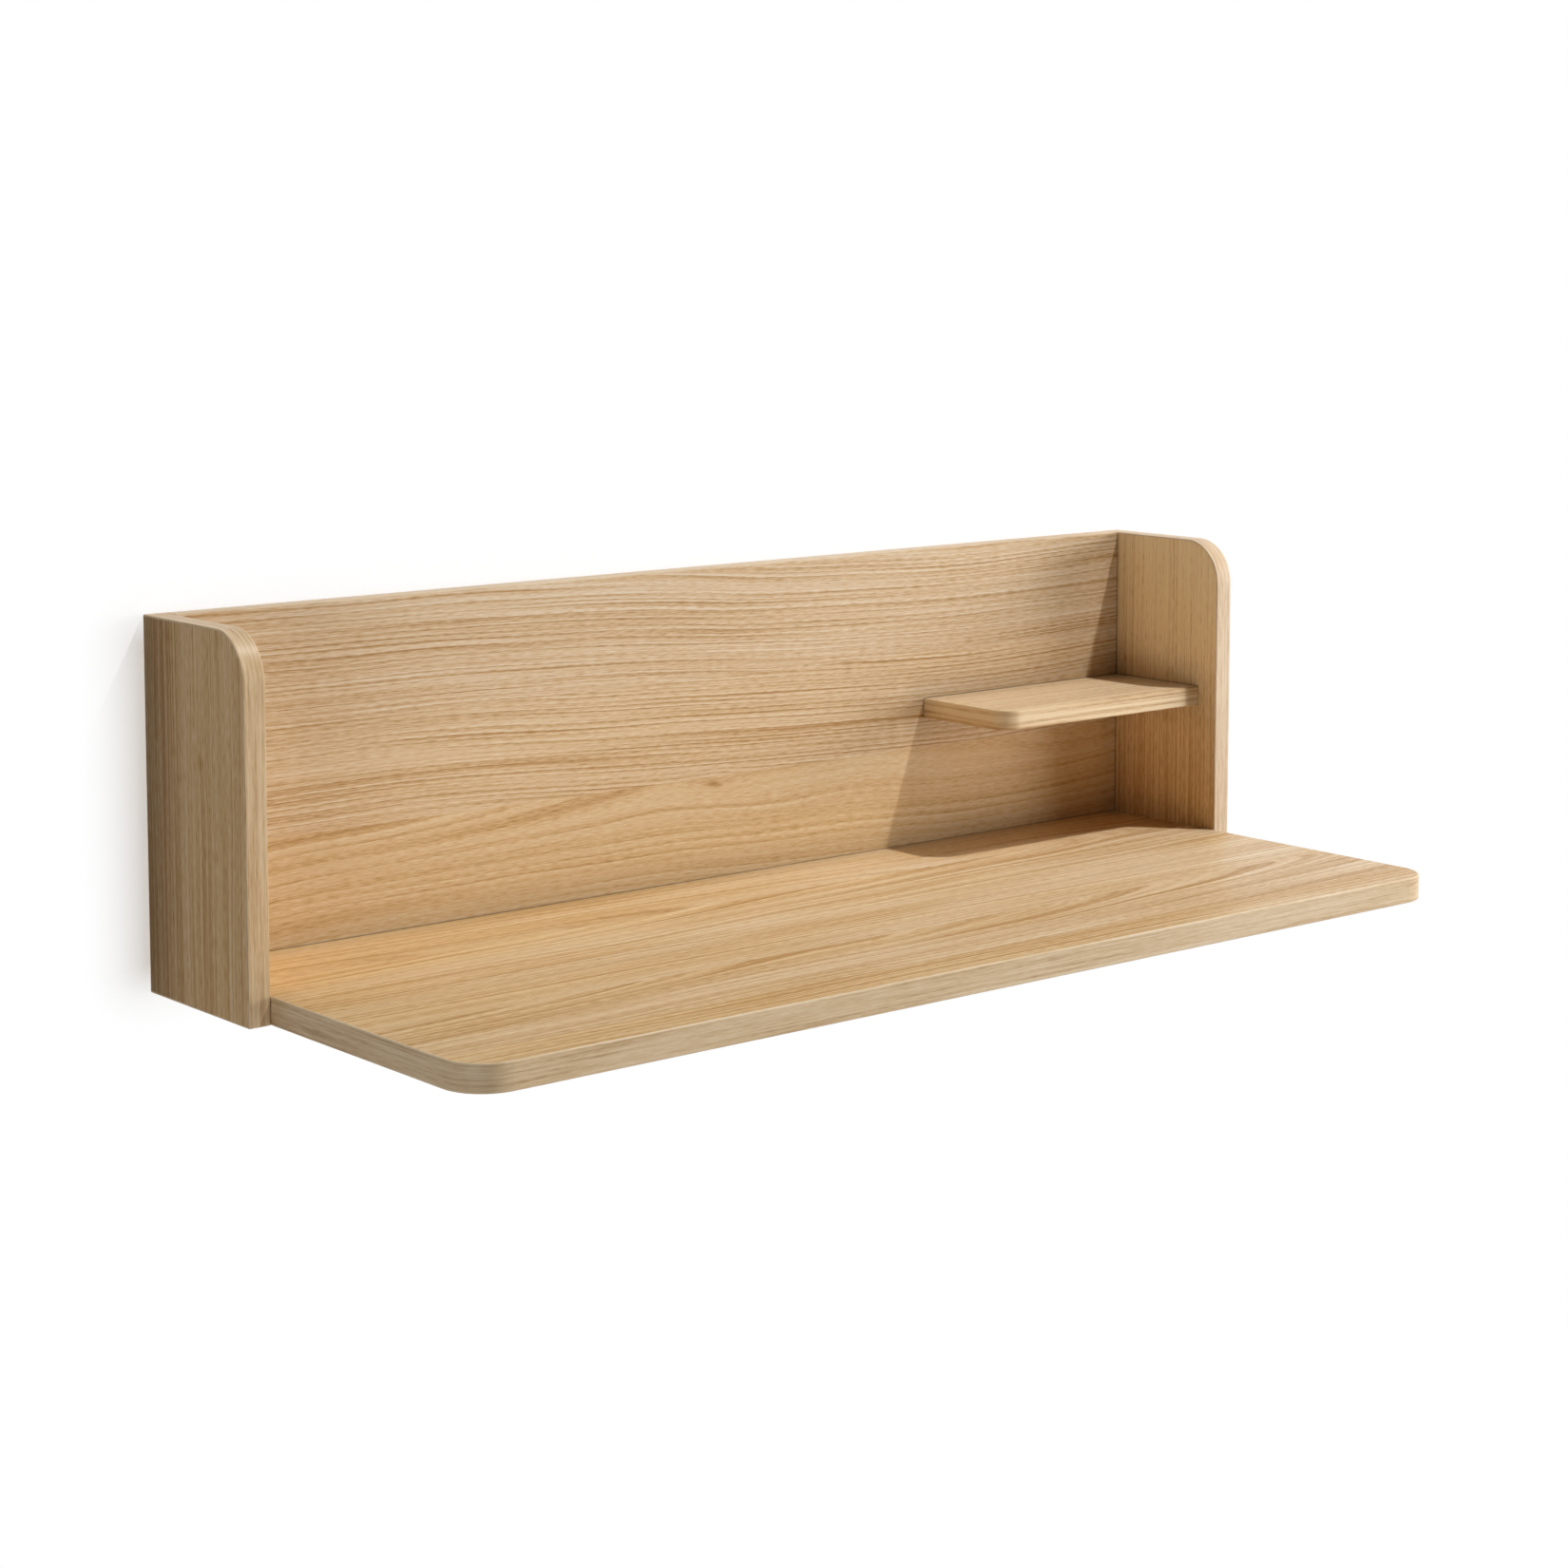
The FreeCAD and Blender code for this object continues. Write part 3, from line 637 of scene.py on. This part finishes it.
def joint_lines_and_painted_shade(graph, point, neighbours):
    """Shade factors close to the neighbouring boards: a dark joint line, partly the gap and partly painted
    contact shadow, and a wider painted shade in the corners.
    """
    joint_and_painted_shades = []
    for name in neighbours:
        distance = beyond(graph, point, *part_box(name))
        joint_and_painted_shades += [graph.smooth(distance, *JOINT_AND_CONTACT_SHADOW), graph.smooth(distance, *PAINTED_CORNER_SHADE)]
    return joint_and_painted_shades


def oak_finish(graph, colours, light, hue, pores, joint_and_painted_shades, gloss):
    """The varnished oak surface, from a lightness and a hue of 0 to 1, its pores and its shade factors,
    which are mostly painted shade.
    """
    colour = graph.ramp(light, list(zip(OAK_STOPS, colours)))
    colour = graph.mix(1.0, colour, graph.mix(hue, OAK_GOLDEN, OAK_COOL), blend="MULTIPLY")
    if joint_and_painted_shades:
        shade = graph.times(*joint_and_painted_shades)
        colour = graph.mix(1.0, colour, graph.vector(shade, shade, shade), blend="MULTIPLY")
    return graph.surface(
        Base_Color=colour,
        Roughness=graph.scaled(pores, PORE_POLISH, OAK_ROUGHNESS),
        Specular_IOR_Level=gloss,
        Normal=graph.bump(pores, PORE_RELIEF, PORE_DEPTH),
    )


def wave(graph, u, sweep):
    turn = 2 * math.pi / sweep.length
    return graph.scaled(graph.math("COSINE", graph.scaled(u, turn, -sweep.start * turn)), sweep.height)


def log_radius(graph, u, v, number, leaf, veneer):
    """How far out in its log each point of the veneer was, in metres."""
    side = graph.add(graph.math("SUBTRACT", v, leaf.pith), graph.swung(u, number, HEART_WANDER))
    if veneer.sweep:
        side = graph.add(side, wave(graph, u, veneer.sweep))
    reach = graph.math("SMOOTH_MIN", u, leaf.level, LEVEL_BLEND)
    deep = graph.add(
        graph.scaled(reach, leaf.drift, leaf.depth),
        graph.swung(u, number, DEPTH_WANDER, DEPTH_SEED),
    )
    return graph.add(
        graph.math("SQRT", graph.scaled(deep, deep, graph.math("MULTIPLY", side, side))),
        graph.swung(u, v, RING_RIPPLE, number),
        graph.swung(u, v, RING_WIGGLE, number),
        *(graph.scaled(graph.blob(u, v, knot), knot.pull) for knot in veneer.knots),
    )


def oak_grain(graph, u, radius, number, leaf, pores):
    """How much lighter or darker the rings and the streaks along them make each point."""
    uneven = graph.swung(radius, number, RING_UNEVEN, UNEVEN_SEED)
    phase = graph.math("FRACT", graph.add(graph.math("DIVIDE", radius, leaf.ring), uneven))
    pale = graph.times(graph.pulse(phase, PALE_PART), graph.smooth(pores, *PORE_BREAKS))
    rings = graph.scaled(graph.pulse(phase, LATE_PART), LATE_WEIGHT, pale)
    bold = graph.smooth(graph.streaks(u, radius, RING_BOLDNESS, number), *BOLDNESS)
    return graph.add(
        graph.scaled(graph.times(rings, bold, leaf.rings), RING_CONTRAST),
        *(graph.swung(u, radius, layer, number) for layer in GRAIN_STREAKS),
    )


def oak_face(name, veneer):
    """Oak veneer on a board's face: growth rings of each leaf's log, cut flat, with fibres and pores."""
    graph = new_material(name)
    point = graph.point()
    axes = graph.split(point)
    u, v = axes[veneer.along], axes[veneer.across]
    masks = [graph.math("GREATER_THAN", v, leaf.start) for leaf in veneer.leaves[1:]]
    seeds = [veneer.seed + LEAF_SEED_STEP * i for i in range(len(veneer.leaves))]
    number = stepped(graph, masks, seeds)

    # The values of the leaf that the point is on
    leaf = SimpleNamespace()
    for key in (field.name for field in fields(Leaf) if field.name != "start"):
        setattr(leaf, key, stepped(graph, masks, [getattr(each, key) for each in veneer.leaves]))

    radius = log_radius(graph, u, v, number, leaf, veneer)
    pores = graph.streaks(u, v, PORES, number)
    grain = oak_grain(graph, u, radius, number, leaf, pores)
    figure = graph.scaled(grain, leaf.figure, FACE_MIDDLE)
    light = graph.add(figure, graph.swing(pores, PORES.swing), leaf.tone)
    hue = graph.add(graph.swung(u, v, HUE_DRIFT, number), leaf.cool)
    for knot in veneer.knots:
        light = graph.scaled(graph.blob(u, v, knot.core()), KNOT_SHADE, light)
    # Painted light: lighter further along the grain, towards the top
    if veneer.painted_light_rise:
        light = graph.scaled(u, veneer.painted_light_rise, light)
    if veneer.cooling:
        hue = graph.scaled(u, veneer.cooling, hue)
    if veneer.mottle:
        patch = graph.swing(graph.streaks(u, v, PATCHES, number), veneer.mottle)
        light = graph.add(light, patch)
        hue = graph.add(hue, patch)

    # Painted shade near the neighbouring boards, with a dark joint line
    joint_and_painted_shades = joint_lines_and_painted_shade(graph, point, veneer.neighbours)
    # Painted shade on outer faces: darker towards the wall
    if veneer.wall_shade < 1.0:
        joint_and_painted_shades.append(graph.smooth(axes["Y"], *PAINTED_WALL_SHADE_SPAN, 1.0, veneer.wall_shade))
    return oak_finish(graph, veneer.colours, light, graph.smooth(hue, 0.0, 1.0), pores, joint_and_painted_shades, veneer.gloss)


def oak_strip(name, strip, bands):
    """Oak edge band: its grain runs along the strip, so it changes fast only across the strip."""
    graph = new_material(name)
    point = graph.point()
    axes = graph.split(point)
    v = axes.pop(strip.across)
    lengthwise = axes.values()

    def lines(layer):
        place = graph.vector(
            graph.scaled(v, layer.across, strip.seed),
            *(graph.scaled(axis, layer.along) for axis in lengthwise),
        )
        return graph.noise(place, layer.detail, layer.roughness)

    pores = lines(BAND_PORES)
    light = graph.add(
        graph.swing(lines(BAND_BROAD), BAND_BROAD.swing),
        graph.swing(lines(BAND_LINES), strip.bold),
        graph.swing(lines(BAND_FIBRES), BAND_FIBRES.swing),
        graph.swing(pores, BAND_PORES.swing),
        BAND_MIDDLE + strip.tone,
    )
    # Painted highlight along the top edge
    if strip.worn_top:
        top = max(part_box(band)[1].z for band in bands)
        light = graph.add(light, graph.smooth(v, top - ARRIS_START, top - ARRIS_END, 0.0, ARRIS_HIGHLIGHT))
    hue = graph.math("ADD", graph.swing(lines(BAND_HUE), BAND_HUE.swing), strip.cool, clamp=True)
    # Painted shade near the neighbouring boards, with a dark joint line
    joint_and_painted_shades = joint_lines_and_painted_shade(graph, point, strip.neighbours)
    return oak_finish(graph, OAK_EDGE, light, hue, pores, joint_and_painted_shades, BAND_GLOSS)


def particle_board():
    """Pressed wood chips, seen in the holes and pockets."""
    graph = new_material("particle_board")
    warp = graph.noise(graph.stretched((WARPS_PER_METRE,) * 3), roughness=WARP_ROUGHNESS)
    shift = graph.scaled(warp, CHIP_WARP)
    chips = graph.stretched((CHIPS_PER_METRE,) * 3)
    edge, shade = graph.cells(graph.vector_math("ADD", chips, graph.vector(shift, shift, shift)))
    red = graph.put("ShaderNodeSeparateColor", shade)
    tone = graph.add(graph.scaled(red, CHIP_TONE), graph.scaled(warp, WARP_TONE, TONE_START))
    return graph.surface(
        Base_Color=graph.ramp(tone, CHIP_COLOURS),
        Roughness=graph.smooth(edge, *CHIP_ROUGHNESS),
        Normal=graph.bump(edge, CHIP_RELIEF, CHIP_DEPTH),
    )


def beech():
    """Turned beech, with its short dark flecks along the dowel."""
    graph = new_material("beech")
    fleck = graph.noise(graph.stretched(FLECKS_PER_METRE))
    return graph.surface(
        Base_Color=graph.ramp(fleck, BEECH_COLOURS),
        Roughness=graph.smooth(fleck, *BEECH_ROUGHNESS),
    )


def bare_metal(name, metal):
    """Bare metal whose colour and polish change with its marks."""
    graph = new_material(name)
    mark = graph.noise(graph.stretched(metal.marks), MARK_DETAIL, MARK_ROUGHNESS)
    dull, bright = metal.roughness + METAL_DULLER, metal.roughness + METAL_BRIGHTER
    return graph.surface(
        Base_Color=graph.ramp(mark, list(zip(METAL_STOPS, (metal.dark, metal.light)))),
        Metallic=1.0,
        Roughness=graph.smooth(mark, *METAL_SPAN, dull, bright),
        Normal=graph.bump(mark, metal.relief, METAL_DEPTH),
    )


def paint(names, material):
    """Gives the CAD nodes of these names the material."""
    for name in names:
        mesh = nodes[name].data
        mesh.materials.clear()
        mesh.materials.append(material)


def dress_boards():
    """Oak on every board: each face has its own wood, and so have each board's bands."""
    for face, veneer in VENEERS.items():
        paint([f"{face}_veneer"], oak_face(f"oak_{face}", veneer))
    for board, strip in STRIPS.items():
        bands = [f"{board}_{edge}_band" for edge in strip.edges]
        paint(bands, oak_strip(f"oak_{board}_band", strip, bands))
    paint([f"{board}_core" for board in STRIPS], particle_board())


def dress_fittings():
    """Cast zinc cams, steel bolts and screws, beech dowels and aluminium hanging rails."""
    cams = [name for name in nodes if "_cam_" in name and not name.endswith("bolts")]
    paint(cams, bare_metal("zinc", ZINC))
    screws = [name for name in nodes if name.endswith(("bolts", "screws"))]
    paint(screws, bare_metal("steel", STEEL))
    paint([name for name in nodes if name.endswith("dowels")], beech())
    paint(["panel_cleat", "wall_cleat"], bare_metal("aluminium", ALUMINIUM))


def seen_rays(graph):
    """1 for rays of the camera, of reflections and through glass, and 0 for all others."""
    paths = graph.node("ShaderNodeLightPath").outputs
    return graph.chain("MAXIMUM", *(paths[f"Is {ray} Ray"] for ray in ("Camera", "Glossy", "Transmission")))


def one_way_white(name, low, high, fade, lift_level):
    """A white stage surface that shows shadows near a box, and is plain white further off.

    From behind it can't be seen. A shadow ray that starts right against it passes too, so that a lamp
    behind the wall lights what lies against the wall.
    """
    graph = new_material(name)
    seen = seen_rays(graph)
    diffuse = graph.put("ShaderNodeBsdfDiffuse", graph.mix(seen, (STAGE_BOUNCE,) * 3, (STAGE_WHITE,) * 3))
    lift = graph.put("ShaderNodeEmission", (*LIFT_COLOUR, 1.0), graph.scaled(seen, lift_level))
    lit = graph.put("ShaderNodeAddShader", diffuse, lift)
    near = graph.line(beyond(graph, graph.point(), low, high), *fade)
    far = graph.math("SUBTRACT", 1.0, graph.math("MULTIPLY", near, near))
    white = graph.put("ShaderNodeEmission")
    front = graph.put("ShaderNodeMixShader", graph.math("MULTIPLY", far, seen), lit, white)

    paths = graph.node("ShaderNodeLightPath").outputs
    touching = graph.math("LESS_THAN", paths["Ray Length"], TOUCH_REACH)
    let_through = graph.math("MULTIPLY", paths["Is Shadow Ray"], touching)
    behind = graph.node("ShaderNodeNewGeometry").outputs["Backfacing"]
    clear = graph.put("ShaderNodeBsdfTransparent")
    return graph.finish(
        graph.put("ShaderNodeMixShader", graph.math("MAXIMUM", behind, let_through), front, clear)
    )


def stage_piece(name, points, faces, material):
    mesh = bpy.data.meshes.new(name)
    mesh.from_pydata(points, [], faces)
    mesh.materials.append(material)
    piece = bpy.data.objects.new(name, mesh)
    scene.collection.objects.link(piece)


def build_stage():
    """A wall with an opening behind the desk, so that its back is lit, and a floor below."""
    far = STAGE_HALF
    floor = cad_low.z - FLOOR_BELOW
    wall_y = cad_high.y + WALL_GAP
    columns = (-far, cad_low.x + WALL_INSET, cad_high.x - WALL_INSET, far)
    rows = (floor, cad_low.z + WALL_INSET, cad_high.z - WALL_INSET, far)
    points = [(x, wall_y, z) for z in rows for x in columns]
    opening = (1, 1)
    wide = len(columns)
    faces = []
    for row, column in product(range(len(rows) - 1), range(wide - 1)):
        if (row, column) != opening:
            corner = row * wide + column
            faces.append((corner, corner + 1, corner + wide + 1, corner + wide))
    trim = Vector((0.0, 0.0, WALL_SHADE_TRIM))
    wall_white = one_way_white("wall_white", cad_low + trim, cad_high - trim, WALL_FADE, WALL_LIFT)
    stage_piece("wall", points, faces, wall_white)

    corners = [(-far, -far, floor), (far, -far, floor), (far, far, floor), (-far, far, floor)]
    floor_white = one_way_white("floor_white", cad_low, cad_high, FLOOR_FADE, FLOOR_LIFT)
    stage_piece("floor", corners, [(0, 1, 2, 3)], floor_white)


def build_lights():
    """Round lamps that face the desk, with the power that gives each its level there."""
    for name, lamp in LAMPS.items():
        data = bpy.data.lights.new(name, "AREA")
        data.shape = "DISK"
        data.size = lamp.size
        away = Vector(lamp.place) - LIGHT_TARGET
        data.energy = lamp.level * math.pi**2 * away.length_squared
        piece = bpy.data.objects.new(name, data)
        scene.collection.objects.link(piece)
        piece.location = lamp.place
        piece.rotation_mode = "QUATERNION"
        piece.rotation_quaternion = away.to_track_quat("Z", "Y")
        piece.visible_camera = False


def build_world():
    """White to the camera and to reflections, and a faint fill for everything else."""
    graph = Graph(bpy.data.worlds.new("studio"))
    strength = graph.line(seen_rays(graph), 0.0, 1.0, WORLD_FILL, 1.0)
    background = graph.put("ShaderNodeBackground", (1.0, 1.0, 1.0, 1.0), strength)
    scene.world = graph.finish(background, "ShaderNodeOutputWorld")


def build_camera():
    data = bpy.data.cameras.new("camera")
    data.sensor_width = CAMERA_SENSOR
    data.lens = CAMERA_LENS
    data.shift_y = CAMERA_SHIFT
    camera = bpy.data.objects.new("camera", data)
    scene.collection.objects.link(camera)
    camera.location = CAMERA_PLACE
    camera.rotation_euler = Euler((math.radians(90 - CAMERA_TILT), 0.0, math.radians(-CAMERA_TURN)))
    scene.camera = camera


build_camera()
build_lights()
build_world()
build_stage()
dress_boards()
dress_fittings()
scene.view_settings.view_transform = "Standard"
